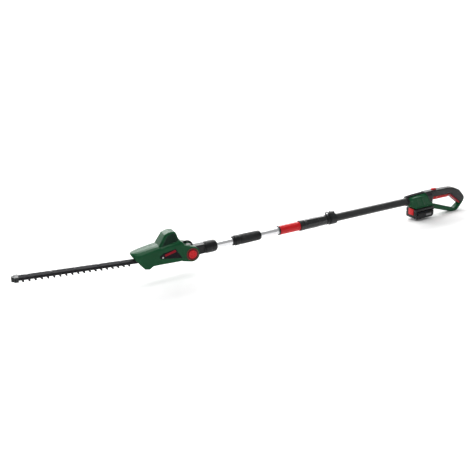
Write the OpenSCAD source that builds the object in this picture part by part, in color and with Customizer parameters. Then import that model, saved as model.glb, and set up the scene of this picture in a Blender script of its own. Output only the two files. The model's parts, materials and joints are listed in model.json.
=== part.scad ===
// Cordless pole hedge trimmer with a tilting cutting head and a telescopic pole.
// X runs along the pole from the blade to the rear handle, Z is up, Y is across.

/* [Cutting head] */
// Distance along the pole from the blade tip to the head's tilt pivot
pivot_x = 650; // [630:1:680]
// Angle by which the blade tip is raised at rest
head_tilt = 4.8; // [0:0.1:10]
// Half width of the gear housing
head_w = 41; // [40:1:44]
// Half width of the motor hump
hump_w = 31; // [30:1:33]
// Wall thickness of the housings
wall = 3; // [2:0.5:3]
// Number of teeth along each side of the blade
tooth_count = 19; // [10:1:19]
// Distance between neighbouring teeth
tooth_pitch = 20.5; // [18:0.5:20.5]
// Distance from the blade's centre line to the tooth tips
tooth_reach = 32; // [28:1:36]
// Half of the cutting stroke
stroke = 8; // [6:1:8]
// Tooth size of the reduction gear, as its module
gear_module = 1.5; // [1.4:0.1:1.5]

/* [Pole] */
// Outer radius of the silver inner tube
tube_r = 15; // [14:0.5:15]
// Outer radius of the black outer tube
outer_r = 18; // [18:0.5:18.5]
// Rear end of the sliding inner tube, from the blade tip
inner_end = 1722; // [1500:1:1722]

/* [Handle] */
// Half width of the handle body
body_w = 28; // [26:1:30]
// Half width of the hand loop
loop_w = 16; // [15:1:18]
// Rearmost point of the hand loop, from the blade tip
loop_end = 2132; // [2130:1:2142]
// Height of the hand loop's lowest point below the pole axis
loop_drop = 100; // [97:1:104]

/* [Battery] */
// Front face of the battery, from the blade tip
battery_x = 1797; // [1790:1:1800]
// Length of the battery
battery_len = 112; // [108:1:113]
// Half width of the battery
battery_w = 36; // [35:1:38]
// Depth of the battery's underside below the pole axis
battery_drop = 90; // [88:1:92]

/* [Hidden] */
$fn = 48;
eps = 0.01;
hang_hole_x = -641.5;
hang_hole_r = 3.5;
guard_nose_r = 9;
guard_tip = guard_nose_r - hang_hole_x;
guard_bottom = -21;
min_x = pivot_x - guard_tip * cos(head_tilt) + guard_bottom * sin(head_tilt);
mid_x = (min_x + loop_end) / 2;

// Blade stack heights in the head's own frame, from the bottom up
comb_z = [-16.3, -13.5];
blade_z = [-13.2, -10.8];
bar_z = [-10.5, -5.5];
plate_z = [10, 14];
spine_w = 14;
blade_front = -636.5;
comb_rear = -165;
moving_front = -617;
moving_rear = -140;
yoke_size = [34, 42];
guard_bolt_x = -632;
first_tooth = -245;
bolt_xs = [-600, -518, -436, -354, -272];
bracket_bolt_xs = [-204, -180];
bolt_r = 2.5;
sleeve_r = 4.5;

// Gear train: the pinion and the gear share the module, one on each axis
gear_x = -126;
gear_teeth = 42;
pinion_teeth = 14;
motor_x = gear_x + gear_module * (gear_teeth + pinion_teeth) / 2;
spindle_r = 5;
shaft_r = 2.5;
crank_r = 4;
roller_r = 5;
running = 0.05;
gap = 0.3;

// Housing outlines in the head frame, anticlockwise in X and Z
housing_outline = [
    [-234, 17], [-212, -10], [-187, -38], [-170, -39], [-156, -28],
    [-34, -24], [-34, 47], [-131, 36], [-216, 17]
];
crown_outline = [[-224, 12], [-120, 12], [-120, 47], [-136, 44], [-222, 25]];
crown_w = 28;
hump_outline = [
    [-134, 25], [-34, 25], [-34, 50], [-51, 62], [-62, 90], [-67, 94], [-85, 94], [-104, 86],
    [-131, 44]
];
vent_outline = [[-120, 42], [-58, 57], [-55, 63], [-66, 89], [-77, 89], [-97, 82]];
arm_outline = [[-40, -25], [-4, -30.7], [0, 31], [-40, 45]];
// Plan of the material missing from the nose's right corner, anticlockwise in X and Y
nose_plan = [[-250, 60], [-250, 6], [-236, 8], [-224, 27], [-207, 42], [-200, 60]];
boss_r = 31;
tongue_r = 28;
tongue_w = 17.4;
arm_in = 18;
arm_out = 42;
pin_r = 6;
pocket_r = 25;
pocket_floor = 28;
button_r = 16.6;
// Each place holds X, Z and the half width of the housing there
head_screw_places = [[-216, 6, 32], [-168, -28, head_w], [-47, -16, head_w], [-45, 29, head_w]];
screw_r = 1.7;
screw_hole_r = 1.8;
recess_r = 4;
recess_deep = 4;

// Handle outlines along the pole, anticlockwise in X and Z
body_outline = [[1764, -20], [1800, -38], [1908, -38], [1908, 29], [1866, 29], [1764, 22]];
loop_outline = [
    [1894, -36], [1911, -37], [1911, -57], [2010, -88], [2057, -loop_drop], [2088, -loop_drop],
    [loop_end - 12, -66], [loop_end, -46], [loop_end - 6, -30], [2092, 6], [2050, 25],
    [2007, 29], [1894, 29]
];
hole_outline = [[1918, -33], [2074, -86], [2108, -62], [2030, -2], [1918, -2]];
dock_x = [1802, 1904];
dock_z = [-46, -38];
dock_w = 20;
battery_top = -39;
battery_split = -58;
// Section of the material missing along the body's top right edge, anticlockwise in Y and Z
shoulder_section = [[body_w + 4, 9], [body_w + 4, 44], [body_w - 24, 44]];
handle_screw_places = [
    [1800, -28, body_w], [1896, 14, body_w], [1966, 18, loop_w],
    [2104, -30, loop_w], [2096, -82, loop_w], [1962, -60, loop_w]
];

// Lead from the head's gland over the open pivot and down into the neck, in the head frame
pivot_cable_points = [
    [-40, 0, 38], [-34, 0, 38], [-28, 0, 38], [-24, 0, 39], [-19, 0, 41], [-15, 0, 42.5],
    [-10, 0, 43], [-5, 0, 42.5], [0, 0, 41], [5, 0, 38.5], [9, 0, 35], [12, 0, 31],
    [14.5, 0, 27], [15, 0, 23]
];
pivot_cable_r = 3.5;

function unit(v) = v / norm(v);

// Outline moved inwards by d, corner by corner; its points run anticlockwise
function inset(points, d) = [
    for (i = [0 : len(points) - 1])
        let (
            n = len(points),
            u = unit(points[i] - points[(i + n - 1) % n]),
            v = unit(points[(i + 1) % n] - points[i]),
            nu = [-u[1], u[0]],
            nv = [-v[1], v[0]]
        )
        points[i] + d * (nu + nv) / (1 + nu * nv)
];

function involute_deg(base, r) = let (a = acos(base / r)) tan(a) * 180 / PI - a;

// Half the angle of a tooth at radius r
function tooth_half(teeth, pitch_r, base, r) =
    89 / teeth + involute_deg(base, pitch_r) - involute_deg(base, max(r, base + eps));

// Outline of a spur gear with involute flanks
function gear_points(teeth, size) = let (
    pitch_r = teeth * size / 2,
    base = pitch_r * cos(20),
    root = pitch_r - 1.25 * size,
    tip = pitch_r + 0.9 * size,
    low = max(root, base),
    radii = [root, low, low + (tip - low) / 3, low + (tip - low) * 2 / 3, tip],
    last = len(radii) - 1
) [
    for (i = [0 : teeth - 1])
        for (j = [0 : 2 * last + 1])
            let (
                k = j <= last ? j : 2 * last + 1 - j,
                side = j <= last ? -1 : 1,
                a = 360 * i / teeth + side * tooth_half(teeth, pitch_r, base, radii[k])
            )
            radii[k] * [cos(a), sin(a)]
];

// Ring of points about the route point p, square to the direction d
function ring_at(p, d, r, sides) = let (
    side = abs(d[1]) > 0.9 ? [1, 0, 0] : [0, 1, 0],
    a = unit(cross(d, side)),
    b = cross(d, a)
) [for (k = [0 : sides - 1]) p + r * (cos(360 * k / sides) * a + sin(360 * k / sides) * b)];

module on_pole() translate([-mid_x, 0, loop_drop]) children();
module on_head() on_pole() translate([pivot_x, 0, 0]) rotate([0, head_tilt, 0]) children();
module mirrored_y() mirror([0, 1, 0]) children();

// Flat outline in X and Z made solid from y0 to y1
module slab(y0, y1) translate([0, y1, 0]) rotate([90, 0, 0]) linear_extrude(y1 - y0) children();

module rod_x(r, x0, x1) translate([x0, 0, 0]) rotate([0, 90, 0]) cylinder(r = r, h = x1 - x0);
module rod_y(r, y0, y1) translate([0, y1, 0]) rotate([90, 0, 0]) cylinder(r = r, h = y1 - y0);
module rod_z(r, z0, z1) translate([0, 0, z0]) cylinder(r = r, h = z1 - z0);
module block(low, high) translate(low) cube(high - low);

module pipe_x(r_out, r_in, x0, x1) difference() {
    rod_x(r_out, x0, x1);
    rod_x(r_in, x0 - 1, x1 + 1);
}

// Profile of [x, radius] points turned about the X axis
module turned_x(points) rotate([0, 90, 0]) rotate_extrude()
    polygon([for (p = points) [p[1], p[0]]]);

// Round wire swept along the given points
module swept(points, r, sides) {
    n = len(points);
    function way(i) = unit(points[min(i + 1, n - 1)] - points[max(i - 1, 0)]);
    rings = [for (i = [0 : n - 1]) each ring_at(points[i], way(i), r, sides)];
    walls = [
        for (i = [0 : n - 2])
            for (k = [0 : sides - 1])
                let (a = i * sides + k, b = i * sides + (k + 1) % sides)
                each [[a, b, b + sides], [a, b + sides, a + sides]]
    ];
    first = [for (k = [sides - 1 : -1 : 0]) k];
    last = [for (k = [0 : sides - 1]) (n - 1) * sides + k];
    polyhedron(points = rings, faces = concat(walls, [first, last]));
}

// Compression spring standing on the XY plane
module coil_spring(r, wire, turns, h) {
    steps = 10 * turns;
    rise = h - 2 * wire;
    swept(
        [for (i = [0 : steps]) [r * cos(36 * i), r * sin(36 * i), wire + rise * i / steps]],
        wire, 6
    );
}

module nose_corner(grow) translate([0, 0, -60]) linear_extrude(140)
    polygon(inset(nose_plan, -grow));

// Right half of the gear housing with its fork arm; screwed marks the side of the screw heads
module head_half(screwed) difference() {
    union() {
        difference() {
            union() {
                slab(0, head_w) polygon(housing_outline);
                slab(0, crown_w) polygon(crown_outline);
                slab(0, hump_w) polygon(hump_outline);
            }
            difference() {
                union() {
                    slab(-1, head_w - wall) polygon(inset(housing_outline, wall));
                    slab(-1, crown_w - wall) polygon(inset(crown_outline, wall));
                }
                nose_corner(wall);
            }
            slab(-1, hump_w - wall) polygon(inset(hump_outline, wall));
            nose_corner(0);
        }
        slab(arm_in, arm_out) polygon(arm_outline);
        rod_y(boss_r, arm_in, arm_out);
        for (p = head_screw_places) translate([p[0], 0, p[1]]) rod_y(4.5, 0, p[2] - 1);
    }
    for (p = head_screw_places) translate([p[0], 0, p[1]]) {
        rod_y(screw_hole_r, -1, screwed ? head_w + 1 : p[2] - 6);
        if (screwed) rod_y(recess_r, p[2] - recess_deep, arm_out + 3);
    }
    block([-245, -1, -21.5], [-196, 36, -3]);
    slab(hump_w - wall - 2, hump_w + 1) polygon(vent_outline);
    rod_y(pocket_r, pocket_floor, arm_out + 1);
    rod_y(pin_r, 0, arm_out);
    translate([0, 0, 38]) rod_x(6, -45, -20);
}

module head_shell_right() color([0.12, 0.34, 0.23]) on_head() head_half(true);
module head_shell_left() color([0.12, 0.34, 0.23]) on_head() mirrored_y() head_half(false);

// Slatted cover of the cooling air inlet
module vent_grille() difference() {
    slab(hump_w - wall, hump_w + 0.5) polygon(inset(vent_outline, 0.1));
    slab(hump_w - wall - 1, hump_w + 1) intersection() {
        polygon(inset(vent_outline, 3));
        for (z = [46 : 6 : 84]) translate([-130, z]) square([90, 3]);
    }
}

module vent_grilles() color("dimgray") on_head() {
    vent_grille();
    mirrored_y() vent_grille();
}

module gear_bracket() color("silver") on_head() difference() {
    union() {
        block([-210, -30, plate_z[0]], [-52, 30, plate_z[1]]);
        block([-210, -spine_w, bar_z[1]], [-172, spine_w, plate_z[0] + 1]);
    }
    for (x = bracket_bolt_xs) translate([x, 0, 0]) rod_z(bolt_r, -8, 20);
    translate([gear_x, 0, 0]) rod_z(9, 5, 20);
    translate([motor_x, 0, 0]) rod_z(7, 5, 20);
}

can_r = 21;
can_z = [plate_z[1], 62];

module motor_can() color("gray") on_head() translate([motor_x, 0, 0]) difference() {
    rod_z(can_r, can_z[0], can_z[1]);
    rod_z(can_r - 1.5, can_z[0] + 4, can_z[1] - 4);
    rod_z(6.5, can_z[0] - 1, can_z[1] + 1);
}

module bearing(r_out, r_in, z0, z1) difference() {
    rod_z(r_out, z0, z1);
    rod_z(r_in, z0 - 1, z1 + 1);
}

module ball_bearings() color("lightgray") on_head() {
    translate([gear_x, 0, 0]) bearing(9, spindle_r + running, plate_z[0], plate_z[1]);
    translate([motor_x, 0, 0]) bearing(6.5, shaft_r + running, can_z[0], can_z[0] + 4);
    translate([motor_x, 0, 0]) bearing(6.5, shaft_r + running, can_z[1] - 4, can_z[1]);
}

// Row of teeth along both edges, each pair one flat outline across the spine
module teeth(reach, root_w, tip_w) for (i = [0 : tooth_count - 1])
    translate([first_tooth - i * tooth_pitch, 0])
        polygon([
            [-tip_w, -reach], [tip_w, -reach], [root_w, 2 - spine_w], [root_w, spine_w - 2],
            [tip_w, reach], [-tip_w, reach], [-root_w, spine_w - 2], [-root_w, 2 - spine_w]
        ]);

module bolt_holes(xs, r) for (x = xs) translate([x, 0]) circle(r);

module fixed_comb() color([0.13, 0.13, 0.14]) on_head()
    translate([0, 0, comb_z[0]]) linear_extrude(comb_z[1] - comb_z[0]) difference() {
        union() {
            translate([blade_front, -spine_w + 1]) square([comb_rear - blade_front, 2 * spine_w - 2]);
            teeth(tooth_reach, 4.5, 2.4);
        }
        bolt_holes(concat(bolt_xs, bracket_bolt_xs, [guard_bolt_x]), bolt_r);
    }

module moving_blade() color([0.2, 0.2, 0.21]) on_head()
    translate([0, 0, blade_z[0]]) linear_extrude(blade_z[1] - blade_z[0]) difference() {
        union() {
            translate([moving_front, -spine_w + 1])
                square([moving_rear - moving_front, 2 * spine_w - 2]);
            translate([gear_x - yoke_size[0] / 2, -yoke_size[1] / 2]) square(yoke_size);
            teeth(tooth_reach - 3, 4.2, 1.8);
        }
        for (x = concat(bolt_xs, bracket_bolt_xs), dx = [-stroke, stroke])
            translate([x + dx, 0]) circle(sleeve_r + gap);
        for (x = concat(bolt_xs, bracket_bolt_xs))
            translate([x - stroke, -sleeve_r - gap]) square([2 * stroke, 2 * (sleeve_r + gap)]);
        for (dy = [-stroke, stroke]) translate([gear_x, dy]) circle(roller_r + running);
        translate([gear_x - roller_r - running, -stroke])
            square([2 * (roller_r + running), 2 * stroke]);
    }

module yoke_roller() color("silver") on_head() translate([gear_x, stroke, 0])
    bearing(roller_r, crank_r + 0.1, blade_z[0], blade_z[1]);

module blade_bar() color([0.1, 0.1, 0.11]) on_head()
    translate([0, 0, bar_z[0]]) linear_extrude(bar_z[1] - bar_z[0]) difference() {
        translate([blade_front, -spine_w]) square([comb_rear - blade_front, 2 * spine_w]);
        bolt_holes(concat(bolt_xs, bracket_bolt_xs, [guard_bolt_x]), bolt_r);
    }

module bolt(x, head_z, head_r) translate([x, 0, 0]) {
    rod_z(bolt_r, comb_z[0] - 4.5, head_z);
    rod_z(head_r, head_z, head_z + 3);
}

module blade_bolts() color("silver") on_head() {
    for (x = bolt_xs) bolt(x, bar_z[1], 4.5);
    for (x = bracket_bolt_xs) bolt(x, plate_z[1], 4.5);
    translate([guard_bolt_x, 0, 0]) rod_z(bolt_r, -20, -4);
}

module blade_nuts() color("silver") on_head()
    for (x = concat(bolt_xs, bracket_bolt_xs)) translate([x, 0, comb_z[0] - 4]) difference() {
        cylinder(r = 4.6, h = 4, $fn = 6);
        translate([0, 0, -1]) cylinder(r = bolt_r, h = 6);
    }

module blade_spacers() color("silver") on_head()
    for (x = concat(bolt_xs, bracket_bolt_xs)) translate([x, 0, 0])
        bearing(sleeve_r, bolt_r, comb_z[1], bar_z[0]);

// Blunt end piece over the blade's tip, with a hole to hang the tool from
module tip_guard() color([0.08, 0.08, 0.08]) on_head() difference() {
    union() {
        translate([hang_hole_x, 0, 0]) rod_z(guard_nose_r, guard_bottom, -3);
        block([hang_hole_x, -17, guard_bottom], [-627, 17, -3]);
    }
    translate([hang_hole_x, 0, 0]) rod_z(hang_hole_r, -30, 0);
    block([blade_front, -spine_w, bar_z[0]], [-620, spine_w, bar_z[1]]);
    block([blade_front, -spine_w + 1, comb_z[0]], [-620, spine_w - 1, comb_z[1]]);
    translate([guard_bolt_x, 0, 0]) rod_z(bolt_r, -20, -4);
}

// Screw along Y, entered from the right side
module cross_screw(w, reach) {
    rod_y(screw_r, -reach, w - 1);
    rod_y(recess_r - 0.4, w - recess_deep, w - 1);
}

module head_screws() color("gray") on_head()
    for (p = head_screw_places) translate([p[0], 0, p[1]]) cross_screw(p[2], p[2] - 7);

module pivot_pin() color("silver") on_head() rod_y(pin_r, -27, 27);

module tilt_bezel() color("darkred") on_head() mirrored_y() difference() {
    rod_y(pocket_r - 0.05, 36, 43.5);
    rod_y(button_r + gap, 35, 45);
}

module pivot_cap() color([0.1, 0.1, 0.1]) on_head() rod_y(pocket_r - 0.05, 36, 45);

module tilt_button() color("red") on_head() mirrored_y() {
    rod_y(button_r, 37, 45);
    rod_y(9, 33, 38);
}

module tilt_button_spring() color("silver") on_head() mirrored_y()
    translate([0, pocket_floor, 0]) rotate([-90, 0, 0]) coil_spring(13, 1, 3, 9);

module cable_gland() color("lightgray") on_head() translate([0, 0, 38]) difference() {
    union() {
        rod_x(6, -40, -29);
        rod_x(8, -34, -31);
    }
    rod_x(pivot_cable_r, -41, -28);
}

module pivot_cable() color([0.07, 0.07, 0.07]) on_head()
    swept(pivot_cable_points, pivot_cable_r, 10);

// Reduction gear with its spindle, and the crank pin that drives the yoke
module drive_gear() color("silver") on_head() translate([gear_x, 0, 0]) {
    translate([0, 0, 1]) linear_extrude(7) polygon(gear_points(gear_teeth, gear_module));
    rod_z(8, 7.5, 9.5);
    rod_z(spindle_r, 7.5, plate_z[1] + 2);
    translate([0, stroke, 0]) rod_z(crank_r, blade_z[1] + 0.5, 1.5);
}

module motor_shaft() color("silver") on_head() translate([motor_x, 0, 0])
    rod_z(shaft_r, -0.5, 76);

module motor_pinion() color("silver") on_head() translate([motor_x, 0, 0]) difference() {
    translate([0, 0, 0.5]) linear_extrude(8.5) rotate(180 / pinion_teeth)
        polygon(gear_points(pinion_teeth, gear_module));
    rod_z(shaft_r, -1, 20);
}

module motor_armature() color("chocolate") on_head() translate([motor_x, 0, 0]) difference() {
    union() {
        rod_z(16, 24, 50);
        rod_z(8, 50, 56);
    }
    rod_z(shaft_r, 20, 60);
}

module motor_fan() color("gray") on_head() translate([motor_x, 0, 0]) difference() {
    union() {
        rod_z(19, 65, 67);
        rod_z(5, 65, 74);
        for (a = [0 : 40 : 320]) rotate(a) block([4, -0.7, 66], [18, 0.7, 73]);
    }
    rod_z(shaft_r, 60, 80);
}

neck_len = 66;
neck_end = pivot_x + 114;
collar_x = [pivot_x + neck_len, pivot_x + 118];

// Tongue that sits between the fork arms, with the socket for the silver tube
module pivot_neck() color([0.1, 0.1, 0.1]) on_pole() translate([pivot_x, 0, 0]) difference() {
    union() {
        rod_y(tongue_r, -tongue_w, tongue_w);
        slab(-tongue_w, tongue_w) polygon([[0, -21], [neck_len, -19], [neck_len, 19], [0, 21]]);
        rod_x(20, neck_len - 26, neck_end - pivot_x);
    }
    rod_y(pin_r + running, -20, 20);
    for (side = [-1, 1]) rod_y(20, min(side * 13, side * 20), max(side * 13, side * 20));
    rod_x(tube_r, 80, 120);
    rod_x(8, 30, 90);
    rotate([0, head_tilt, 0]) translate([15, 0, 10]) rod_z(5, 0, 30);
    translate([0, 0, 13]) rod_x(4.5, 15, 45);
}

detent_teeth = 24;

module detent_ring() difference() {
    union() {
        rod_y(17.5, 13, 17);
        for (i = [0 : detent_teeth - 1]) rotate([0, 360 * i / detent_teeth, 0])
            block([16, 13, -1], [19.6, 17, 1]);
    }
    rod_y(pin_r + running, 10, 20);
}

module detent_rings() color("silver") on_pole() translate([pivot_x, 0, 0]) {
    detent_ring();
    mirrored_y() detent_ring();
}

module neck_collar() color([0.12, 0.12, 0.12]) on_pole() turned_x([
    [collar_x[0], 20], [collar_x[0], 23], [collar_x[0] + 5, 25], [collar_x[1] - 8, 25],
    [collar_x[1], 22], [collar_x[1], tube_r], [neck_end, tube_r], [neck_end, 20]
]);

tube_wall = 1.2;
outer_wall = 1.4;
coupling_x = [838, 968];

module upper_tube() color("silver") on_pole()
    pipe_x(tube_r, tube_r - tube_wall, pivot_x + 80, 846);

module coupling_body() color([0.1, 0.1, 0.1]) on_pole() difference() {
    union() {
        rod_x(18, coupling_x[0], 960);
        rod_x(19.5, coupling_x[0], 846);
    }
    rod_x(tube_r, coupling_x[0] - 1, 970);
}

// Lengthwise finger flutes round the clamping nut
module coupling_nut() color([0.15, 0.15, 0.15]) on_pole() difference() {
    turned_x([
        [848, 20], [851, 21.5], [870, 21.5], [960, 20.5], [coupling_x[1], 19.5],
        [coupling_x[1], tube_r + gap], [961, tube_r + gap], [961, 18.3], [848, 18.3]
    ]);
    for (a = [0 : 15 : 345]) rotate([a, 0, 0]) translate([0, 0, 22.6]) rod_x(1.7, 872, 958);
}

module lower_tube() color("silver") on_pole()
    pipe_x(tube_r, tube_r - tube_wall, 852, inner_end);

module tube_guide() color([0.2, 0.2, 0.2]) on_pole() difference() {
    union() {
        rod_x(tube_r - tube_wall, inner_end - 20, inner_end + 1);
        rod_x(outer_r - outer_wall - gap, inner_end, inner_end + 12);
    }
    rod_x(10.5, inner_end - 30, inner_end + 20);
}

lock_x = [1056, 1200];

// Split sleeve that the red collar squeezes onto the silver tube
module lock_body() color([0.1, 0.1, 0.1]) on_pole() difference() {
    union() {
        rod_x(17.9, lock_x[0], 1166);
        rod_x(19.4, lock_x[0], lock_x[0] + 4);
        rod_x(outer_r - outer_wall, 1160, lock_x[1]);
    }
    rod_x(tube_r + gap, lock_x[0] - 1, lock_x[1] + 1);
}

module lock_collar() color("red") on_pole() difference() {
    turned_x([
        [1060.5, 18.2], [1060.5, 19], [1063, 19.8], [1156, 19.8], [1159, 19], [1159, 18.2]
    ]);
    for (a = [0 : 20 : 340]) rotate([a, 0, 0]) translate([0, 0, 20.8]) rod_x(1.4, 1072, 1150);
}

module outer_tube() color([0.1, 0.1, 0.1]) on_pole() difference() {
    pipe_x(outer_r, outer_r - outer_wall, 1166, 1815);
    for (side = [-1, 1]) translate([0, side * (outer_r + 0.2), 0]) rod_x(1, 1346, 1757);
}

module front_grip() color([0.13, 0.13, 0.13]) on_pole() turned_x([
    [1160, outer_r], [1160, 22.5], [1162, 23.4], [1183, 23.4], [1186, 21.8], [1190, 22.8],
    [1240, 22.8], [1294, 21.4], [1297, 20], [1297, outer_r]
]);

eye_x = 1306;
eye_z = 28;
eye_r = 5.5;

module strap_collar() color([0.12, 0.12, 0.12]) on_pole() difference() {
    union() {
        rod_x(22, 1298, 1314);
        rod_x(25, 1314, 1346);
        block([1322, -8, 0], [1341, 8, 34]);
    }
    rod_x(outer_r, 1290, 1350);
    translate([eye_x, 0, eye_z]) rod_y(9, -3.1, 3.1);
    translate([1331, 0, 29.5]) rod_y(2, -10, 10);
}

module strap_eye() color("gray") on_pole() translate([eye_x, 0, eye_z]) difference() {
    rod_y(8.9, -3, 3);
    rod_y(eye_r, -4, 4);
}

trigger_hinge = [1946, -7];
trigger_outline = [[1923, -13], [1930, -19], [2026, -20], [2030, -8], [1946, -2], [1923, -4]];
trigger_slot_w = 7.4;
plunger_x = 1995;

module shoulder(grow) translate([1750, 0, 0]) rotate([90, 0, 90]) linear_extrude(170)
    polygon(inset(shoulder_section, -grow));

// Right half of the handle housing; screwed marks the side of the screw heads
module handle_half(screwed) difference() {
    union() {
        difference() {
            union() {
                difference() {
                    slab(0, body_w) polygon(body_outline);
                    shoulder(0);
                }
                slab(0, loop_w) difference() {
                    polygon(loop_outline);
                    polygon(hole_outline);
                }
                slab(0, dock_w) polygon([
                    [dock_x[0], dock_z[0]], [dock_x[1], dock_z[0]],
                    [dock_x[1], dock_z[1] + 1], [dock_x[0], dock_z[1] + 1]
                ]);
            }
            difference() {
                slab(-1, body_w - wall) polygon(inset(body_outline, wall));
                shoulder(wall);
            }
            slab(-1, loop_w - wall) difference() {
                polygon(inset(loop_outline, wall + 3));
                polygon(inset(hole_outline, -wall));
            }
        }
        block([1938, trigger_slot_w, -12], [1954, 13, -1]);
        for (p = handle_screw_places) translate([p[0], 0, p[1]]) rod_y(4.2, 0, p[2] - 1);
    }
    for (p = handle_screw_places) translate([p[0], 0, p[1]]) {
        rod_y(screw_hole_r, -1, screwed ? p[2] + 1 : p[2] - 4);
        if (screwed) rod_y(recess_r, p[2] - recess_deep, p[2] + 1);
    }
    rod_x(outer_r, 1750, 1816);
    block([1938, -1, -21], [2034, trigger_slot_w, 3]);
    block([1918.5, -1, 20], [1946.5, 7, 40]);
    slab(-1, loop_w + 1) grip_band();
    translate([trigger_hinge[0], 0, trigger_hinge[1]]) rod_y(1.5, -1, 12);
}

// Band of soft skin round the top and the back of the hand loop
module grip_band() difference() {
    polygon(loop_outline);
    polygon(inset(loop_outline, 3));
    polygon([[1800, -200], [2060, -200], [2060, -60], [1959.9, 0], [1959.9, 60], [1800, 60]]);
}

module handle_shell_right() color([0.12, 0.34, 0.23]) on_pole() handle_half(true);
module handle_shell_left() color([0.12, 0.34, 0.23]) on_pole() mirrored_y() handle_half(false);

module soft_grip() color([0.2, 0.2, 0.2]) on_pole() difference() {
    union() {
        slab(-loop_w, loop_w) grip_band();
        slab(-loop_w, loop_w) polygon([[1868, 29], [1962, 29], [1962, 31.5], [1868, 31.5]]);
    }
    block([1918, -7.5, 20], [1947, 7.5, 40]);
}

module nose_ring() color([0.1, 0.1, 0.1]) on_pole() turned_x([
    [1756, outer_r], [1756, 19.8], [1759, 21.5], [1764, 22.4], [1764, outer_r]
]);

module trigger() color("red") on_pole() difference() {
    slab(-7, 7) polygon(trigger_outline);
    translate([trigger_hinge[0], 0, trigger_hinge[1]]) rod_y(1.5 + running, -8, 8);
}

module trigger_pin() color("silver") on_pole()
    translate([trigger_hinge[0], 0, trigger_hinge[1]]) rod_y(1.5, -12, 12);

module trigger_spring() color("silver") on_pole()
    translate([2018, 0, -6.9]) coil_spring(3, 0.6, 4, 12);

module lock_off_button() color("red") on_pole() {
    block([1920, -6.4, 25], [1944, 6.4, 39]);
    block([1924, -4, 16], [1940, 4, 26]);
}

module lock_off_spring() color("silver") on_pole()
    translate([1932, 0, 2.5]) coil_spring(3, 0.6, 4, 13.5);

module switch_body() color([0.15, 0.15, 0.15]) on_pole() difference() {
    block([1982, -8, 2], [2010, 8, 20]);
    translate([plunger_x, 0, 0]) rod_z(2.5 + running, 0, 12);
}

module switch_plunger() color("whitesmoke") on_pole()
    translate([plunger_x, 0, 0]) rod_z(2.5, -4, 7);

module control_board() color("darkgreen") on_pole() {
    block([1840, -20, 6], [1900, 20, 7.6]);
    block([1848, -10, 7.6], [1862, 10, 14]);
    block([1876, -12, 7.6], [1884, 6, 12]);
}

terminal_ys = [-12, 0, 12];

module terminal_block() color("gray") on_pole() {
    block([1894, -18, -54], [1904, 18, dock_z[0]]);
    for (y = terminal_ys) block([1874, y - 0.4, -53], [1895, y + 0.4, -48]);
}

module handle_screws() color("gray") on_pole()
    for (p = handle_screw_places) translate([p[0], 0, p[1]]) cross_screw(p[2], p[2] - 6);

// Lead inside the pole, coiled where the pole telescopes
module power_cable() color([0.15, 0.15, 0.15]) on_pole() {
    rod_x(2.5, pivot_x + 60, 1500);
    rod_x(9, 1500, 1810);
    rod_x(2.5, 1810, 1836);
}

battery_end = battery_x + battery_len;

// Closed box with thin walls, open at the joint between the two halves
module battery_box(z0, z1, low, high) difference() {
    block([battery_x, -battery_w, z0], [battery_end, battery_w, z1]);
    block([battery_x + 2.5, 2.5 - battery_w, low], [battery_end - 2.5, battery_w - 2.5, high]);
}

module release_window() block([battery_x - 1, -16.5, -72.5], [battery_x + 5, 16.5, -40]);

module battery_case_upper() color([0.1, 0.1, 0.1]) on_pole() difference() {
    battery_box(battery_split, battery_top, battery_split - 1, battery_top - 9);
    block([dock_x[0] - gap, -dock_w - 0.4, -46.4], [battery_end + 1, dock_w + 0.4, 0]);
    block([1872, -18.5, -54.5], [battery_end + 1, 18.5, -40]);
    release_window();
}

module battery_case_lower() color([0.08, 0.08, 0.08]) on_pole() difference() {
    battery_box(-battery_drop, battery_split, 2.5 - battery_drop, battery_split + 1);
    release_window();
}

module battery_cells() color("steelblue") on_pole()
    for (i = [0 : 4]) translate([battery_x + 16 + 19 * i, 0, -76]) rod_y(9, -32.5, 32.5);

module battery_release_button() color("red") on_pole()
    block([battery_x - 3, -16, -72], [battery_x + 2, 16, -40.5]);

head_shell_left();
head_shell_right();
vent_grilles();
gear_bracket();
motor_can();
ball_bearings();
blade_bar();
fixed_comb();
blade_bolts();
blade_nuts();
blade_spacers();
tip_guard();
head_screws();
pivot_pin();
tilt_bezel();
pivot_cap();
tilt_button_spring();
cable_gland();
pivot_cable();
moving_blade();
yoke_roller();
drive_gear();
motor_armature();
motor_shaft();
motor_fan();
motor_pinion();
tilt_button();
pivot_neck();
detent_rings();
neck_collar();
upper_tube();
coupling_body();
lower_tube();
tube_guide();
coupling_nut();
lock_body();
outer_tube();
front_grip();
strap_collar();
strap_eye();
handle_shell_left();
handle_shell_right();
soft_grip();
nose_ring();
trigger_pin();
trigger_spring();
lock_off_spring();
switch_body();
control_board();
terminal_block();
handle_screws();
power_cable();
lock_collar();
trigger();
lock_off_button();
switch_plunger();
battery_case_upper();
battery_case_lower();
battery_cells();
battery_release_button();
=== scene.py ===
import json
import math

import bmesh
import bpy
from mathutils import Matrix, Vector


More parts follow.
